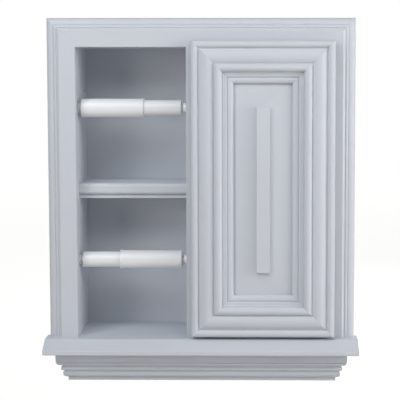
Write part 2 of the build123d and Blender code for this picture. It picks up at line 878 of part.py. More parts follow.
def hinge_arm(name, level):
    """Cranked steel arm: a knuckle on the pin, a short leg in the cup and a long channel."""
    half_knuckle = hinge_barrel_length / 2
    with BuildPart() as arm:
        with BuildSketch(Plane.XY.offset(level - half_knuckle)):
            with Locations((pivot_x, pivot_y)):
                Circle(hinge_barrel_diameter / 2)
        extrude(amount=hinge_barrel_length)
        knuckle_levels = (level - half_knuckle, level + half_knuckle)
        leg = (pivot_y - arm_thickness / 2, pivot_y + arm_thickness / 2)
        board((arm_outer, pivot_x), leg, knuckle_levels)
        channel_front = casing_face + arm_channel_front
        board((arm_outer, arm_inner), (leg[0], arm_back), knuckle_levels)
        channel_levels = (level - arm_width / 2, level + arm_width / 2)
        board((arm_outer, arm_inner + arm_channel), (channel_front, arm_back), channel_levels)
        board((arm_inner, arm_inner + arm_channel), (channel_front, arm_back), knuckle_levels, Mode.SUBTRACT)
        pin_hole = hinge_pin_diameter / 2 + hinge_pin_clearance
        drill((pivot_x, pivot_y, knuckle_levels[0]), (0, 0, 1), pin_hole, hinge_barrel_length)
        screw_hole = screw_diameter / 2 + screw_clearance
        drill((arm_outer, arm_screw_y, level), (1, 0, 0), screw_hole, arm_thickness)
    keep_part(arm, f"hinge_arm_{name}")


def hinge_plate(name, level):
    """Mounting plate on the side panel: two screw wings and a raised spine for the arm."""
    plate_face = right_x - plate_thickness
    with BuildPart() as plate:
        board(
            (plate_face, right_x),
            (plate_front, plate_front + plate_width),
            (level - plate_length / 2, level + plate_length / 2),
        )
        fillet(plate.edges().filter_by(Axis.X), plate_corner)
        spine_levels = (level - plate_spine_width / 2, level + plate_spine_width / 2)
        board((arm_inner, right_x), (plate_front, arm_back), spine_levels)
        for side in (-1, 1):
            seat = (plate_face, plate_screw_y, level + side * plate_screw_spacing / 2)
            drill(seat, (1, 0, 0), screw_diameter / 2 + screw_clearance, plate_thickness)
        drill((arm_inner, arm_screw_y, level), (1, 0, 0), screw_diameter / 2, screw_grip - arm_thickness)
    keep_part(plate, f"hinge_plate_{name}")


for name, level in hinge_levels.items():
    hinge_cup(name, level)
    hinge_arm(name, level)
    hinge_plate(name, level)

with BuildPart() as hinge_pins:
    for level in hinge_levels.values():
        pin_low = level - hinge_barrel_length / 2 - hinge_side_clearance - cup_lug
        with BuildSketch(Plane.XY.offset(pin_low)) as pin_end:
            with Locations((pivot_x, pivot_y)):
                Circle(hinge_pin_diameter / 2)
        extrude(pin_end.sketch, amount=2 * (level - pin_low))
keep_part(hinge_pins, "hinge_pins")


# Screws: each is a domed head on its seat and a shank along its direction
def screw(seat, direction, grip):
    """Adds a screw to the piece being built, with its head standing on seat."""
    head_plane = Plane(origin=seat, z_dir=direction)
    with BuildSketch(head_plane) as shank:
        Circle(screw_diameter / 2)
    extrude(shank.sketch, amount=grip)
    with BuildSketch(head_plane) as head:
        Circle(screw_head_diameter / 2)
    extrude(head.sketch, amount=-screw_head_height, taper=screw_head_taper)


with BuildPart() as hinge_plate_screws:
    for level in hinge_levels.values():
        for side in (-1, 1):
            seat_z = level + side * plate_screw_spacing / 2
            screw((right_x - plate_thickness, plate_screw_y, seat_z), (1, 0, 0), screw_grip)
keep_part(hinge_plate_screws, "hinge_plate_screws")

with BuildPart() as hinge_arm_screws:
    for level in hinge_levels.values():
        screw((arm_outer, arm_screw_y, level), (1, 0, 0), screw_grip)
keep_part(hinge_arm_screws, "hinge_arm_screws")

with BuildPart() as hinge_cup_screws:
    for level in hinge_levels.values():
        for side in (-1, 1):
            seat_z = level + side * cup_screw_spacing / 2
            screw((cup_x - cup_screw_offset, door_back + cup_flange, seat_z), (0, -1, 0), screw_grip)
keep_part(hinge_cup_screws, "hinge_cup_screws")

# The magnetic catch, its screws, and the strike plate on the door
catch_face = casing_face - catch_front
catch_back = catch_face + catch_depth

with BuildPart() as catch_body:
    board(
        (divider_right, divider_right + catch_width),
        (catch_face, catch_back),
        (catch_z - catch_length / 2, catch_z + catch_length / 2),
    )
    fillet(catch_body.edges().filter_by(Axis.Y), catch_corner)
    board(
        (catch_x - magnet_width / 2, catch_x + magnet_width / 2),
        (catch_face, catch_face - magnet_stand + magnet_depth),
        (catch_z - magnet_length / 2, catch_z + magnet_length / 2),
        Mode.SUBTRACT,
    )
    for level in catch_screw_levels:
        drill((divider_right, catch_y, level), (1, 0, 0), screw_diameter / 2 + screw_clearance, catch_width)
keep_part(catch_body, "catch_body")

with BuildPart() as catch_magnet:
    board(
        (catch_x - magnet_width / 2, catch_x + magnet_width / 2),
        (catch_face - magnet_stand, catch_face - magnet_stand + magnet_depth),
        (catch_z - magnet_length / 2, catch_z + magnet_length / 2),
    )
keep_part(catch_magnet, "catch_magnet")

with BuildPart() as catch_screws:
    for level in catch_screw_levels:
        screw((divider_right + catch_width, catch_y, level), (-1, 0, 0), catch_width + screw_grip)
keep_part(catch_screws, "catch_screws")

strike_front = catch_face - magnet_stand - strike_gap

with BuildPart() as strike_plate:
    with BuildSketch(Plane(origin=corner(catch_x, catch_z), x_dir=(1, 0, 0), z_dir=(0, 1, 0))):
        RectangleRounded(strike_width, strike_length, strike_corner)
        Circle(screw_diameter / 2, mode=Mode.SUBTRACT)
    extrude(amount=strike_front - door_back)
keep_part(strike_plate, "strike_plate")

with BuildPart() as strike_screw:
    with BuildSketch(Plane(origin=(catch_x, strike_front, catch_z), z_dir=(0, -1, 0))):
        Circle(screw_diameter / 2)
    extrude(amount=strike_front - door_back + strike_screw_depth)
keep_part(strike_screw, "strike_screw")

# Two rubber buffers on the door's back meet the divider's front edge
with BuildPart() as door_buffers:
    buffer_x = (max(divider_left, door_left) + divider_right) / 2
    for level in (door_bottom + buffer_inset, door_top - buffer_inset):
        with BuildSketch(Plane(origin=corner(buffer_x, level), z_dir=(0, 1, 0))) as pad:
            Circle(buffer_diameter / 2)
        extrude(pad.sketch, amount=door_gap - buffer_play)
keep_part(door_buffers, "door_buffers")
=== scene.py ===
# %% [markdown]
# # A recessed toilet paper holder
#
# This lesson dresses a wooden cabinet that is let into a wall: an open bay with two sprung
# rollers, beside a cupboard with a moulded door. The solids come ready made as a frame, in
# metres, with X to the right, Y into the wall and Z up. Each step first says what the thing
# is on the real object and how it could be made, and then makes it.

# %% Load the frame
import json
import math

import bpy
from mathutils import Matrix, Vector

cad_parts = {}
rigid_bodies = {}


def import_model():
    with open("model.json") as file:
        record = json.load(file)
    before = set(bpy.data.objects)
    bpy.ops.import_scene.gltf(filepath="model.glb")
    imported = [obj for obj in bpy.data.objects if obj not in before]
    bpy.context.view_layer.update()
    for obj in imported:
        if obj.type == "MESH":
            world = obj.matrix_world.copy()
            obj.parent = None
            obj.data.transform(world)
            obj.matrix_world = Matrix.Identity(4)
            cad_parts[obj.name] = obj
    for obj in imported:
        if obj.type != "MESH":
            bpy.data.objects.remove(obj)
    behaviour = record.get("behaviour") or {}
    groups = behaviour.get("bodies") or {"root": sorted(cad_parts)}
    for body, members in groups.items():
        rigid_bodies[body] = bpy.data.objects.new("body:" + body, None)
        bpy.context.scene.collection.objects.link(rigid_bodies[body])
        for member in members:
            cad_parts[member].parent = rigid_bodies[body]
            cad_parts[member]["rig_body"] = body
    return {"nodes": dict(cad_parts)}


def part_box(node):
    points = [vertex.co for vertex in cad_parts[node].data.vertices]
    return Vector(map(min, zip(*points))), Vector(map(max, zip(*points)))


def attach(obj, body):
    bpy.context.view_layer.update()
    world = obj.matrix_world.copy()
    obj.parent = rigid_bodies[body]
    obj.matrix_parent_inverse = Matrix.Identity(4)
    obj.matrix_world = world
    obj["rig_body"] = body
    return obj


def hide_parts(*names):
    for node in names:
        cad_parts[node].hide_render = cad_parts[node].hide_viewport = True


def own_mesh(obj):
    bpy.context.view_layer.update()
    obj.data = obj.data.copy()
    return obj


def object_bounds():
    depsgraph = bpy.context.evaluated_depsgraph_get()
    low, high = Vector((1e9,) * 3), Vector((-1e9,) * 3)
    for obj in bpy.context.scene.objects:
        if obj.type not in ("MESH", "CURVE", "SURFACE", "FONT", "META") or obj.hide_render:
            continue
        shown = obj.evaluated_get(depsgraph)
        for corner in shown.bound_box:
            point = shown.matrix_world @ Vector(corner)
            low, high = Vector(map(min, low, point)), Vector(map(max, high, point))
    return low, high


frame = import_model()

cad_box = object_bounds()
nodes = frame["nodes"]
MM = 0.001

# %% [markdown]
# ## The camera
#
# The photograph was taken from about 1.5 m away, to the right of the middle and above it,
# with a long lens. Its upright lines stay nearly parallel, which a photographer gets by
# shifting the lens. Part of that shift is used here, and a slight downward turn does the
# rest, so that the object also stays in the frame when the camera is moved round it.

# %% The camera
CAMERA_PLACE = (79.6 * MM, -1464 * MM, 150.9 * MM)
PITCH_DOWN, YAW_LEFT = 4.166, 0.547
FILM_WIDTH, FOCAL_LENGTH = 36, 97.43
SHIFT_RIGHT, SHIFT_UP = -0.125, -0.10

camera_data = bpy.data.cameras.new("camera")
camera_data.sensor_width = FILM_WIDTH
camera_data.lens = FOCAL_LENGTH
camera_data.shift_x, camera_data.shift_y = SHIFT_RIGHT, SHIFT_UP
camera = bpy.data.objects.new("camera", camera_data)
camera.location = CAMERA_PLACE
camera.rotation_euler = (math.radians(90 - PITCH_DOWN), 0, math.radians(YAW_LEFT))
bpy.context.scene.collection.objects.link(camera)
bpy.context.scene.camera = camera
bpy.context.scene.view_settings.view_transform = "Standard"
print("camera at", [round(c, 3) for c in camera.location])

# %% [markdown]
# ## A small language for shader maths
#
# A material in Blender is a graph of nodes. Joining Math nodes by hand hides what is being
# worked out, so one small class wraps a socket and turns an ordinary expression such as
# `1 - mask * 0.3` into the Math nodes that it needs. Every other node comes from `Graph.node`,
# which sets the node's own settings first and then its sockets.

# %% A socket in an expression
class Value:
    """A socket that can be added, subtracted, multiplied and divided."""

    def __init__(self, graph, socket):
        self.graph, self.socket = graph, socket

    def _maths(self, operation, first, second):
        return self.graph.node("ShaderNodeMath", {"operation": operation}, {0: first, 1: second})

    def __add__(self, other):
        return self._maths("ADD", self, other)

    def __radd__(self, other):
        return self._maths("ADD", other, self)

    def __sub__(self, other):
        return self._maths("SUBTRACT", self, other)

    def __rsub__(self, other):
        return self._maths("SUBTRACT", other, self)

    def __mul__(self, other):
        return self._maths("MULTIPLY", self, other)

    def __rmul__(self, other):
        return self._maths("MULTIPLY", other, self)

    def __truediv__(self, other):
        return self._maths("DIVIDE", self, other)

    def __rtruediv__(self, other):
        return self._maths("DIVIDE", other, self)


print("a socket can be used in an expression")


# %% A node tree
class Graph:
    """The node tree of a material or a world, with one way to add any node to it."""

    def __init__(self, tree):
        self.tree = tree

    def node(self, kind, settings, sockets, output=0):
        """Adds a node, sets its settings and then its sockets, and wraps one output."""
        made = self.tree.nodes.new(kind)
        for key, setting in settings.items():
            setattr(made, key, setting)
        for key, value in sockets.items():
            self.feed(made.inputs[key], value)
        return Value(self, made.outputs[output])

    def feed(self, socket, value):
        """Joins a socket to a value, or sets it to a constant."""
        if isinstance(value, Value):
            self.tree.links.new(value.socket, socket)
        else:
            socket.default_value = value

    def ramp(self, value, low, high):
        """Runs from 0 to 1 as value goes from low to high, and stays level beyond them."""
        sockets = {"Value": value, "From Min": low, "From Max": high}
        return self.node("ShaderNodeMapRange", {"clamp": True}, sockets)

    def seen_directly(self):
        """1 for rays that show the background: from the camera, mirrored or through glass."""
        seen = self.node("ShaderNodeLightPath", {}, {}, output="Is Camera Ray")
        for name in ("Is Glossy Ray", "Is Transmission Ray"):
            other = self.node("ShaderNodeLightPath", {}, {}, output=name)
            seen = self.node("ShaderNodeMath", {"operation": "MAXIMUM"}, {0: seen, 1: other})
        return seen


print("a node tree takes any node")


# %% A material under construction
class Paint(Graph):
    """A material under construction, with its shader ready to be fed."""

    def __init__(self, name):
        self.material = bpy.data.materials.new(name)
        self.material.use_nodes = True
        super().__init__(self.material.node_tree)
        self.shader = self.tree.nodes["Principled BSDF"]
        self.place = self.node("ShaderNodeTexCoord", {}, {}, output="Object")

    def noise(self, scale, detail=2.0, stretch=(1, 1, 1)):
        """Noise in real sizes: scale counts its grains to the metre, before the stretch."""
        placed = self.node("ShaderNodeMapping", {}, {"Vector": self.place, "Scale": stretch})
        sockets = {"Vector": placed, "Scale": scale, "Detail": detail}
        return self.node("ShaderNodeTexNoise", {}, sockets)

    def mix(self, factor, first, second):
        """Mixes two colours, each given as three numbers."""
        sockets = {"Factor": factor, 6: (*first, 1), 7: (*second, 1)}
        return self.node("ShaderNodeMix", {"data_type": "RGBA"}, sockets, output=2)

    def bump(self, height, depth):
        """Feeds the shader's normal with a height in units of depth, in metres."""
        sockets = {"Height": height, "Distance": depth, "Strength": 1.0}
        self.feed(self.shader.inputs["Normal"], self.node("ShaderNodeBump", {}, sockets))

    def set(self, **sockets):
        """Sets the shader's sockets; an underscore in a name stands for a space."""
        for name, value in sockets.items():
            self.feed(self.shader.inputs[name.replace("_", " ")], value)
        return self.material


print("shader maths is ready")

# %% [markdown]
# ## Satin paint
#
# The wood is painted a pale cool grey. Sprayed satin paint isn't flat: it has a very fine
# orange peel, its sheen varies a little from place to place, and the fibres under it raise
# faint streaks. The peel and the streaks are bumps of a few hundredths of a millimetre, and
# the colour wanders by about one part in fifty, as it does on real paintwork.

# %% Satin paint
PAINT_COLOUR = (0.575, 0.602, 0.656)
PAINT_WARM = (0.562, 0.585, 0.636)
PAINT_RELIEF = 0.06 * MM
STREAKS = {"X": (0.04, 1, 1), "Z": (1, 1, 0.04)}


def satin_paint(name, grain):
    """Painted wood whose faint fibre streaks run along the axis named by grain."""
    paint = Paint(name)
    cloud = paint.noise(14, 3)
    peel = paint.noise(900, 2)
    fibre = paint.noise(700, 3, STREAKS[grain])
    paint.bump(peel * 0.5 + fibre * 0.5, PAINT_RELIEF)
    return paint.set(
        Base_Color=paint.mix(paint.ramp(cloud, 0.35, 0.68) * 0.6, PAINT_COLOUR, PAINT_WARM),
        Roughness=0.44 + paint.ramp(cloud, 0.3, 0.7) * 0.10 + peel * 0.05,
        Specular_IOR_Level=0.25,
    )


paint_upright = satin_paint("satin_paint_upright", "Z")
paint_level = satin_paint("satin_paint_level", "X")
print("paints:", paint_upright.name, paint_level.name)

# %% [markdown]
# ## White plastic
#
# The rollers are moulded in white plastic, glossier than the paint. Moulded plastic has
# slow waves in its gloss and a very fine matt grain from the mould.

# %% White plastic
plastic = Paint("white_plastic")
plastic_cloud = plastic.noise(40, 2)
plastic.bump(plastic.noise(2500, 1), 0.01 * MM)
white_plastic = plastic.set(
    Base_Color=plastic.mix(plastic_cloud, (0.80, 0.81, 0.83), (0.77, 0.78, 0.80)),
    Roughness=0.28 + plastic_cloud * 0.12,
    IOR=1.49,
)
print("plastic:", white_plastic.name)

# %% [markdown]
# ## Metal, magnet and rubber
#
# The hinges, screws and strike plate are pressed and turned steel with a nickel plate, and
# the springs are plated wire. Their roughness varies with fine rolling marks. The magnet is
# a dark ceramic block with a coarse grain, and the door's buffers are soft pale rubber.

# %% Nickel plate
steel = Paint("nickel_plate")
steel_marks = steel.noise(1800, 3, (1, 1, 0.08))
steel.bump(steel_marks, 0.01 * MM)
nickel_plate = steel.set(
    Base_Color=steel.mix(steel.noise(90, 2), (0.66, 0.64, 0.60), (0.58, 0.565, 0.54)),
    Metallic=1.0,
    Roughness=0.22 + steel_marks * 0.12,
)
print("metal:", nickel_plate.name)

# %% Magnet and rubber
ceramic = Paint("magnet_ceramic")
ceramic_grain = ceramic.noise(1500, 4)
ceramic.bump(ceramic_grain, 0.04 * MM)
magnet_ceramic = ceramic.set(
    Base_Color=ceramic.mix(ceramic_grain, (0.035, 0.035, 0.038), (0.09, 0.09, 0.095)),
    Roughness=0.55 + ceramic_grain * 0.2,
)

rubber = Paint("buffer_rubber")
rubber_cloud = rubber.noise(500, 2)
rubber.bump(rubber_cloud, 0.02 * MM)
buffer_rubber = rubber.set(
    Base_Color=rubber.mix(rubber_cloud, (0.70, 0.71, 0.72), (0.60, 0.61, 0.62)),
    Roughness=0.5 + rubber_cloud * 0.15,
)
print("magnet and rubber:", magnet_ceramic.name, buffer_rubber.name)

# %% [markdown]
# ## Which finish goes where
#
# The fibres of a board run along its length, so the rails, shelves and sill take the paint
# with level streaks, and the stiles and sides the one with upright streaks.

# %% Finishes for the frame's own pieces
LEVEL_PIECES = {
    "top_panel", "bottom_panel", "roll_shelf", "shelf_nosing", "storage_shelf", "casing_top",
    "sill", "apron_front", "door_rail_top", "door_rail_bottom",
}
UPRIGHT_PIECES = {
    "side_panel_left", "side_panel_right", "back_panel", "divider", "casing_left",
    "casing_right", "apron_return_left", "apron_return_right", "door_stile_left",
    "door_stile_right", "door_panel", "door_bar",
}
ROLLER_PIECES = {
    f"roller_{level_name}_{part}"
    for level_name in ("upper", "lower") for part in ("barrel", "plunger")
}
STEEL_PRESSINGS = {
    "hinge_cup_upper", "hinge_cup_lower", "hinge_arm_upper", "hinge_arm_lower",
    "hinge_plate_upper", "hinge_plate_lower", "hinge_pins", "shelf_pins", "strike_plate",
}


def finish_of(node):
    """The material, and the record's slot for it, that a piece is finished in."""
    if node in LEVEL_PIECES:
        return paint_level, "painted_wood"
    if node in UPRIGHT_PIECES:
        return paint_upright, "painted_wood"
    if node in ROLLER_PIECES or node == "catch_body":
        return white_plastic, "white_plastic"
    if node == "catch_magnet":
        return magnet_ceramic, "magnet"
    if node == "door_buffers":
        return buffer_rubber, "buffer_rubber"
    return nickel_plate, "plated_steel"


for node, solid in nodes.items():
    solid.data.materials.clear()
    solid.data.materials.append(finish_of(node)[0])
print("pieces finished:", len(nodes))


# %% Dressing a new piece
def dress(piece, node):
    """Finishes a new piece, lets it ride with its body and stand for its solid."""
    material, slot = finish_of(node)
    piece.data.materials.clear()
    piece.data.materials.append(material)
    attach(piece, nodes[node]["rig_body"])
    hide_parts(node)


print("new pieces can take over from their solids")

# %% [markdown]
# ## Softened boards, mouldings and pressings
#
# A joiner sands every sharp edge before painting, and the paint rounds it further, so a real
# edge catches a thin line of light. Each board, moulding stick and steel pressing is a copy
# of its solid. The copy's loose triangles are merged, flat ones are joined into whole faces,
# and every sharp edge gets a small bevel. The mitres between sticks then show as fine seams.

# %% Softening a solid
BOARD_EDGE, MOULDED_EDGE, STEEL_EDGE = 0.30 * MM, 0.12 * MM, 0.15 * MM
FINELY_MOULDED = {"casing_left", "casing_right", "casing_top"}
MERGE_WITHIN = 0.001 * MM
NEARLY_FLAT = math.radians(0.4)
SHARP = math.radians(28)
SMOOTH_UNDER = math.radians(40)


def edge_break(node):
    """How wide a piece's sharp edges are broken."""
    if node in FINELY_MOULDED:
        return MOULDED_EDGE
    return STEEL_EDGE if finish_of(node)[1] == "plated_steel" else BOARD_EDGE


def softened(node):
    """A copy of a solid with its sharp edges broken by a bevel."""
    piece = bpy.data.objects.new(f"{node}_softened", nodes[node].data.copy())
    bpy.context.scene.collection.objects.link(piece)
    bpy.ops.object.select_all(action="DESELECT")
    bpy.context.view_layer.objects.active = piece
    piece.select_set(True)
    bpy.ops.mesh.customdata_custom_splitnormals_clear()
    bpy.ops.object.mode_set(mode="EDIT")
    bpy.ops.mesh.select_all(action="SELECT")
    bpy.ops.mesh.remove_doubles(threshold=MERGE_WITHIN)
    bpy.ops.mesh.dissolve_limited(angle_limit=NEARLY_FLAT)
    bpy.ops.object.mode_set(mode="OBJECT")
    bevel = piece.modifiers.new("edge_break", "BEVEL")
    bevel.width, bevel.segments = edge_break(node), 2
    bevel.limit_method, bevel.angle_limit = "ANGLE", SHARP
    bpy.ops.object.modifier_apply(modifier=bevel.name)
    bpy.ops.object.shade_smooth_by_angle(angle=SMOOTH_UNDER)
    weighted = piece.modifiers.new("flat_faces_stay_flat", "WEIGHTED_NORMAL")
    weighted.keep_sharp, weighted.weight = True, 90
    bpy.ops.object.modifier_apply(modifier=weighted.name)
    dress(piece, node)
    return piece


print("edges are broken by", BOARD_EDGE / MM, MOULDED_EDGE / MM, "and", STEEL_EDGE / MM, "mm")

# %% Every board, moulding and pressing
SOFTENED_PIECES = LEVEL_PIECES | UPRIGHT_PIECES | STEEL_PRESSINGS | {"catch_body", "catch_magnet"}
for node in sorted(SOFTENED_PIECES):
    print(node, len(softened(node).data.polygons), "faces")

# %% [markdown]
# ## Turned pieces
#
# Rollers, screws and buffers are round, so each is drawn as a profile: distances along its
# axis with the radius there. A disc is extruded from one to the next and scaled to each
# radius, which is what a lathe or a mould does. Where the profile turns back on itself, the
# extrusion runs down the inside and makes a bore.

# %% Turning a profile
def turned(name, place, direction, profile, sides):
    """A closed round piece along X, through pairs of distance and radius in millimetres."""
    bpy.ops.object.select_all(action="DESELECT")
    (last_distance, last_radius), *rest = profile
    start = (place[0] + direction * last_distance * MM, place[1], place[2])
    bpy.ops.mesh.primitive_circle_add(
        vertices=sides, radius=last_radius * MM, fill_type="NGON", location=start,
        rotation=(0, math.pi / 2, 0),
    )
    piece = bpy.context.active_object
    piece.name = name
    bpy.ops.object.transform_apply(location=True, rotation=True, scale=True)
    bpy.ops.object.mode_set(mode="EDIT")
    bpy.ops.mesh.select_mode(type="FACE")
    bpy.ops.mesh.select_all(action="SELECT")
    for distance, radius in rest:
        step = direction * (distance - last_distance) * MM
        growth = radius / last_radius
        bpy.ops.mesh.extrude_region_move(TRANSFORM_OT_translate={"value": (step, 0, 0)})
        centre = (place[0] + direction * distance * MM, place[1], place[2])
        bpy.ops.transform.resize(value=(1, growth, growth), center_override=centre)
        last_distance, last_radius = distance, radius
    bpy.ops.mesh.select_all(action="SELECT")
    bpy.ops.mesh.normals_make_consistent(inside=False)
    bpy.ops.object.mode_set(mode="OBJECT")
    bpy.ops.object.shade_smooth_by_angle(angle=SHARP)
    return piece


print("turning is ready")

# %% Rounding a corner of a profile
ROUND_STEPS = 5


def rounded(centre, radius, first, last):
    """Points of an arc about its centre, between two directions in degrees."""
    points = []
    for step in range(ROUND_STEPS + 1):
        angle = math.radians(first + (last - first) * step / ROUND_STEPS)
        points.append((centre[0] + radius * math.cos(angle), centre[1] + radius * math.sin(angle)))
    return points


print("a rounded corner has", ROUND_STEPS + 1, "points")

# %% [markdown]
# ## Rollers
#
# Each roller is two mouldings and a spring. The barrel is closed at one end by a neck and a
# round tip, and open at the other, where a rim stiffens its mouth. The plunger slides in it
# and has two shallow rings where its mould parts. In its socket a tip is guided all round,
# so the roller turns freely. The lower roller is turned end for end.

# %% Profiles of a roller's two halves
TIP_END, TIP_RADIUS, TIP_ROUND = -7.7, 7.0, 1.6
NECK_RADIUS, NECK_LENGTH = 4.5, 1.8
SHOULDER_ROUND = 1.0
BARREL_RADIUS, BARREL_LENGTH, BARREL_BORE, BARREL_WALL = 12.65, 84.8, 10.8, 2.5
RIM_RADIUS, RIM_LENGTH, RIM_ROUND = 13.3, 2.4, 0.3
PLUNGER_RADIUS, PLUNGER_LENGTH, PLUNGER_BORE = 10.7, 96.0, 9.1
RING_PLACES, RING_WIDTH, FINE_EDGE = (56.0, 60.0), 0.6, 0.15
MOUTH_ROUND, SPRING_SEAT = 0.2, 20.0


def tip_profile(gap):
    """The tip in its socket and the neck, as far as the roller's end at gap."""
    level = TIP_RADIUS - TIP_ROUND
    back = rounded((TIP_END + TIP_ROUND, level), TIP_ROUND, 180, 90)
    front = rounded((gap - NECK_LENGTH - TIP_ROUND, level), TIP_ROUND, 90, 0)
    return back + front + [(gap - NECK_LENGTH, NECK_RADIUS), (gap, NECK_RADIUS)]


def shoulder_profile(gap, radius):
    """The rounded shoulder where a roller's half reaches its full radius."""
    return rounded((gap + SHOULDER_ROUND, radius - SHOULDER_ROUND), SHOULDER_ROUND, 180, 90)


def barrel_profile(gap):
    """Neck, rounded shoulder, body, rim, and the bore back to the closed end."""
    mouth = gap + BARREL_LENGTH
    rim = [
        (mouth - RIM_LENGTH, BARREL_RADIUS), (mouth - RIM_LENGTH + 0.1, RIM_RADIUS - FINE_EDGE),
        (mouth - RIM_LENGTH + RIM_ROUND, RIM_RADIUS), (mouth - RIM_ROUND, RIM_RADIUS),
    ]
    bore = [
        (mouth, RIM_RADIUS - RIM_ROUND), (mouth, BARREL_BORE + FINE_EDGE),
        (mouth - FINE_EDGE, BARREL_BORE), (gap + BARREL_WALL, BARREL_BORE),
    ]
    return tip_profile(gap) + shoulder_profile(gap, BARREL_RADIUS) + rim + bore


def plunger_profile(gap):
    """Neck, rounded shoulder, body with two shallow rings, and the seat for the spring."""
    end = gap + PLUNGER_LENGTH
    rings = []
    for place in RING_PLACES:
        ring = gap + place
        rings += [
            (ring, PLUNGER_RADIUS), (ring + FINE_EDGE, PLUNGER_RADIUS - FINE_EDGE),
            (ring + RING_WIDTH - FINE_EDGE, PLUNGER_RADIUS - FINE_EDGE),
            (ring + RING_WIDTH, PLUNGER_RADIUS),
        ]
    mouth = [
        (end - MOUTH_ROUND, PLUNGER_RADIUS), (end, PLUNGER_RADIUS - MOUTH_ROUND),
        (end, PLUNGER_BORE + MOUTH_ROUND), (end - MOUTH_ROUND, PLUNGER_BORE),
        (end - SPRING_SEAT, PLUNGER_BORE),
    ]
    return tip_profile(gap) + shoulder_profile(gap, PLUNGER_RADIUS) + rings + mouth


print("points of the barrel and plunger:", len(barrel_profile(5)), len(plunger_profile(5)))

# %% Rollers
ROLLER_LEVELS = {"upper": 114.5, "lower": -93.5}
ROLLER_Y = 10.0
ROLLER_SIDES = 96
WALLS = {"left": -168.5, "right": -20.0}
GAPS = {"left": 5.0, "right": 7.6}
INWARDS = {"left": 1, "right": -1}
HALVES = (
    ("upper", "barrel", "left", barrel_profile), ("upper", "plunger", "right", plunger_profile),
    ("lower", "barrel", "right", barrel_profile), ("lower", "plunger", "left", plunger_profile),
)
for level_name, part, side, profile_of in HALVES:
    node = f"roller_{level_name}_{part}"
    place = (WALLS[side] * MM, ROLLER_Y * MM, ROLLER_LEVELS[level_name] * MM)
    half = turned(f"{node}_turned", place, INWARDS[side], profile_of(GAPS[side]), ROLLER_SIDES)
    dress(half, node)
    print(node, len(half.data.polygons), "faces")

# %% [markdown]
# ## Springs
#
# A coil spring of plated wire pushes each plunger out of its barrel. One could sweep a wire
# along a helix, but a Screw modifier winds a small circle round an axis in one step. The
# wire's two ends are closed. On the real holder the coil shortens as its plunger slides in.

# %% Springs
SPRING_TURNS, STEPS_TO_A_TURN, WIRE_SIDES = 15, 24, 10
COIL_RADIUS = 7.0 * MM
WIRE_RADIUS = 0.5 * MM


def wound(name, low, high, level):
    """A coil of round wire along X between two places, wound by a Screw modifier."""
    bpy.ops.object.select_all(action="DESELECT")
    bpy.ops.mesh.primitive_circle_add(
        vertices=WIRE_SIDES, radius=WIRE_RADIUS, rotation=(math.pi / 2, 0, 0),
    )
    coil = bpy.context.active_object
    coil.name = name
    bpy.ops.object.transform_apply(location=True, rotation=True, scale=True)
    bpy.ops.object.mode_set(mode="EDIT")
    bpy.ops.mesh.select_all(action="SELECT")
    bpy.ops.transform.translate(value=(COIL_RADIUS, 0, 0))
    bpy.ops.object.mode_set(mode="OBJECT")
    winding = coil.modifiers.new("winding", "SCREW")
    winding.axis, winding.iterations = "Z", SPRING_TURNS
    winding.screw_offset = (high - low) / SPRING_TURNS
    winding.steps = winding.render_steps = STEPS_TO_A_TURN
    bpy.ops.object.modifier_apply(modifier=winding.name)
    coil.rotation_euler = (0, math.pi / 2, 0)
    coil.location = (low, ROLLER_Y * MM, level)
    bpy.ops.object.transform_apply(location=True, rotation=True, scale=True)
    bpy.ops.object.mode_set(mode="EDIT")
    bpy.ops.mesh.select_mode(type="EDGE")
    bpy.ops.mesh.select_all(action="DESELECT")
    bpy.ops.mesh.select_non_manifold(extend=False)
    bpy.ops.mesh.edge_face_add()
    bpy.ops.mesh.select_all(action="SELECT")
    bpy.ops.mesh.normals_make_consistent(inside=False)
    bpy.ops.object.mode_set(mode="OBJECT")
    bpy.ops.object.shade_smooth_by_angle(angle=math.radians(60))
    return coil


for level_name in ("upper", "lower"):
    node = f"roller_{level_name}_spring"
    low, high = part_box(node)
    coil = wound(f"{node}_wound", low.x + WIRE_RADIUS, high.x - WIRE_RADIUS, (low.z + high.z) / 2)
    dress(coil, node)
    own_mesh(coil)
    print(node, "from", round(low.x, 4), "to", round(high.x, 4))

# %% [markdown]
# ## Screws
#
# The fittings are held by small pan head screws with a cross recess. One is turned as a
# profile and its recess is cut with two crossed blades, and the others are copies of it,
# each turned to its own direction with its own mesh.

# %% A screw
HEAD_RADIUS, HEAD_HEIGHT = 3.3, 1.8
SHANK_RADIUS, POINT_RADIUS, POINT_LENGTH = 1.75, 0.6, 1.5
SCREW_SIDES = 24
BLADE = (2.0 * MM, 2.9 * MM, 0.6 * MM)


def cross_cut(screw, head_end):
    """Cuts the cross recess into a screw along +X whose head ends at head_end."""
    for turn in (45, 135):
        bpy.ops.object.select_all(action="DESELECT")
        bpy.ops.mesh.primitive_cube_add(size=1, location=(head_end * MM, 0, 0))
        blade = bpy.context.active_object
        blade.scale = BLADE
        blade.rotation_euler = (math.radians(turn), 0, 0)
        bpy.ops.object.transform_apply(location=True, rotation=True, scale=True)
        cut = screw.modifiers.new("recess", "BOOLEAN")
        cut.operation, cut.object = "DIFFERENCE", blade
        bpy.context.view_layer.objects.active = screw
        bpy.ops.object.modifier_apply(modifier=cut.name)
        bpy.data.objects.remove(blade)


def screw_model(length):
    """A screw along +X from its seat at the origin, with its head towards -X."""
    dome = [
        (-HEAD_HEIGHT, 1.2), (-1.72, 2.0), (-1.45, 2.65), (-1.0, 3.05), (-0.45, 3.25),
        (0, HEAD_RADIUS),
    ]
    shank = [(0, SHANK_RADIUS), (length - POINT_LENGTH, SHANK_RADIUS), (length, POINT_RADIUS)]
    screw = turned(f"screw_{length:g}", (0, 0, 0), 1, dome + shank, SCREW_SIDES)
    cross_cut(screw, -HEAD_HEIGHT)
    return screw


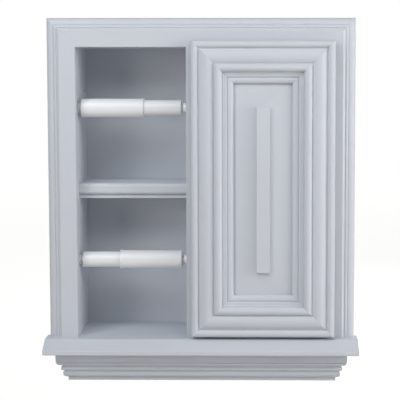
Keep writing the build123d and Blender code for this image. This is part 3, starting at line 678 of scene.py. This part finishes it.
short_screw = screw_model(10.0)
catch_screw = screw_model(23.0)
flush_profile = [(0, 1.6), (0.15, SHANK_RADIUS), (7.7, SHANK_RADIUS), (9.2, POINT_RADIUS)]
flush_screw = turned("flush_screw", (0, 0, 0), 1, flush_profile, SCREW_SIDES)
cross_cut(flush_screw, 0.0)
print("screws:", short_screw.name, catch_screw.name, flush_screw.name)


# %% Copies on their seats
def copies_on(name, model, seats, direction):
    """Copies of a small piece on several seats along one direction, joined into one piece."""
    turn = Vector((1, 0, 0)).rotation_difference(Vector(direction)).to_matrix().to_4x4()
    copies = []
    for seat in seats:
        copy = bpy.data.objects.new(name, model.data.copy())
        copy.data.transform(Matrix.Translation(Vector(seat) * MM) @ turn)
        bpy.context.scene.collection.objects.link(copy)
        copies.append(copy)
    bpy.ops.object.select_all(action="DESELECT")
    for copy in copies:
        copy.select_set(True)
    bpy.context.view_layer.objects.active = copies[0]
    if len(copies) > 1:
        bpy.ops.object.join()
    bpy.ops.object.shade_smooth_by_angle(angle=SHARP)
    return copies[0]


def pair(x, y, level, spread):
    """Two seats, one as far below a level as the other is above it."""
    return [(x, y, level - spread), (x, y, level + spread)]


print("copies are ready")

# %% Every set of screws
RIGHT_WALL, DOOR_BACK = 168.5, -17.0
UPPER_HINGE, LOWER_HINGE, CATCH_LEVEL = 142.7, -131.0, 106.5
PLATE_SEAT, ARM_SEAT = (RIGHT_WALL - 1.8, 23.0), (156.2, 38.0)
CUP_SEAT, CATCH_SEAT, STRIKE_SEAT = (153.7, DOOR_BACK + 1.0), (12.0, -7.0), (5.5, -15.8)
PLATE_SPREAD, CUP_SPREAD, CATCH_SPREAD = 16.0, 24.0, 18.0
SCREW_SETS = {
    "hinge_plate_screws": (
        short_screw, (1, 0, 0),
        pair(*PLATE_SEAT, UPPER_HINGE, PLATE_SPREAD) + pair(*PLATE_SEAT, LOWER_HINGE, PLATE_SPREAD),
    ),
    "hinge_arm_screws": (
        short_screw, (1, 0, 0), [(*ARM_SEAT, UPPER_HINGE), (*ARM_SEAT, LOWER_HINGE)],
    ),
    "hinge_cup_screws": (
        short_screw, (0, -1, 0),
        pair(*CUP_SEAT, UPPER_HINGE, CUP_SPREAD) + pair(*CUP_SEAT, LOWER_HINGE, CUP_SPREAD),
    ),
    "catch_screws": (catch_screw, (-1, 0, 0), pair(*CATCH_SEAT, CATCH_LEVEL, CATCH_SPREAD)),
    "strike_screw": (flush_screw, (0, -1, 0), [(*STRIKE_SEAT, CATCH_LEVEL)]),
}
for node, (model, direction, seats) in SCREW_SETS.items():
    piece = copies_on(f"{node}_turned", model, seats, direction)
    dress(piece, node)
    low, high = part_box(node)
    print(node, len(seats), "screws, solid from", [round(c / MM, 1) for c in low])
for model in (short_screw, catch_screw, flush_screw):
    bpy.data.objects.remove(model)

# %% [markdown]
# ## Buffers
#
# Two soft rubber domes on the door's back stop it from knocking on the divider. Each is a
# flat disc with a domed crown, moulded and stuck on.

# %% Buffers
BUFFER_X, BUFFER_LEVELS = -6.9, (-167.0, 178.7)
buffer_profile = [(0, 3.8), (0.2, 4.0), (1.3, 4.0), (2.1, 3.6), (2.6, 2.6), (2.9, 1.0)]
buffer_model = turned("buffer", (0, 0, 0), 1, buffer_profile, 32)
buffer_seats = [(BUFFER_X, DOOR_BACK, level) for level in BUFFER_LEVELS]
buffers = copies_on("door_buffers_moulded", buffer_model, buffer_seats, (0, 1, 0))
bpy.data.objects.remove(buffer_model)
dress(buffers, "door_buffers")
print("buffers:", len(buffers.data.polygons), "faces")

# %% [markdown]
# ## Floor and background
#
# The photograph is a studio picture on plain white. White comes from the floor and the world
# as the camera sees them, not from stronger lamps. The floor's own glow dips near the middle,
# where the lamps light it most, so that it stays just white there and keeps the holder's
# shadow.

# %% Floor and world
FLOOR_DROP = 0.25
FLOOR_SIZE = 12
FLOOR_COLOUR = (0.80, 0.785, 0.745, 1)
FLOOR_GLOW, FLOOR_DIP, FLOOR_DIP_SPREAD = 0.955, 0.86, 2.4

world = bpy.data.worlds.new("studio")
bpy.context.scene.world = world
world.use_nodes = True
sky = world.node_tree.nodes["Background"]
sky.inputs["Color"].default_value = (1, 1, 1, 1)
sky_graph = Graph(world.node_tree)
sky_graph.feed(sky.inputs["Strength"], sky_graph.seen_directly())

bpy.ops.object.select_all(action="DESELECT")
bpy.ops.mesh.primitive_plane_add(size=FLOOR_SIZE, location=(0, 0, cad_box[0].z - FLOOR_DROP))
floor = bpy.context.active_object
floor.name = "floor"
cloth = Paint("pale_floor")
cloth.set(Base_Color=FLOOR_COLOUR, Roughness=0.9)
from_middle = cloth.node(
    "ShaderNodeVectorMath", {"operation": "DOT_PRODUCT"}, {0: cloth.place, 1: cloth.place},
    output="Value",
)
backdrop = FLOOR_GLOW - FLOOR_DIP / (from_middle + FLOOR_DIP_SPREAD)
glow_sockets = {"Color": backdrop, "Strength": cloth.seen_directly()}
glow = cloth.node("ShaderNodeEmission", {}, glow_sockets)
lit = Value(cloth, cloth.shader.outputs[0])
both = cloth.node("ShaderNodeAddShader", {}, {0: lit, 1: glow})
cloth.feed(cloth.tree.nodes["Material Output"].inputs["Surface"], both)
floor.data.materials.append(cloth.material)
print("floor at", round(floor.location.z, 3))

# %% [markdown]
# ## Lamps
#
# The holder is lit softly from above, by a cool lamp on the left and a weaker one on the
# right. The niche tells where the low lamps are: its back brightens to the right, so a warm
# one stands at the front left, and its left wall is bright only near the front, so another
# stands far out on the right. A lamp behind the wall's plane shows the box's back. Square
# soft boxes give the broad, faint shadows of a studio.

# %% Lamps
LAMP_SIZE = 0.8
WHITE, COOL = (1, 1, 1), (0.92, 0.965, 1.0)
WARM, FAINTLY_WARM = (1.0, 0.975, 0.93), (1.0, 0.985, 0.97)
LAMPS = {
    "top_left_lamp": ((-0.55, -0.90, 1.00), 9.6, COOL),
    "top_right_lamp": ((0.60, -0.95, 1.05), 5.6, WHITE),
    "front_left_lamp": ((-1.40, -1.40, 0.30), 9.0, WARM),
    "right_front_lamp": ((1.40, -0.90, 0.30), 4.1, FAINTLY_WARM),
    "right_lamp": ((1.60, -0.45, 0.20), 13.2, FAINTLY_WARM),
    "back_lamp": ((0.90, 1.60, 0.90), 9.0, WHITE),
}
for name, (place, power, colour) in LAMPS.items():
    light = bpy.data.lights.new(name, "AREA")
    light.size, light.energy, light.color = LAMP_SIZE, power, colour
    soft_box = bpy.data.objects.new(name, light)
    soft_box.location = place
    soft_box.rotation_euler = (-soft_box.location).to_track_quat("-Z", "Y").to_euler()
    bpy.context.scene.collection.objects.link(soft_box)
    print(name, power, "W")
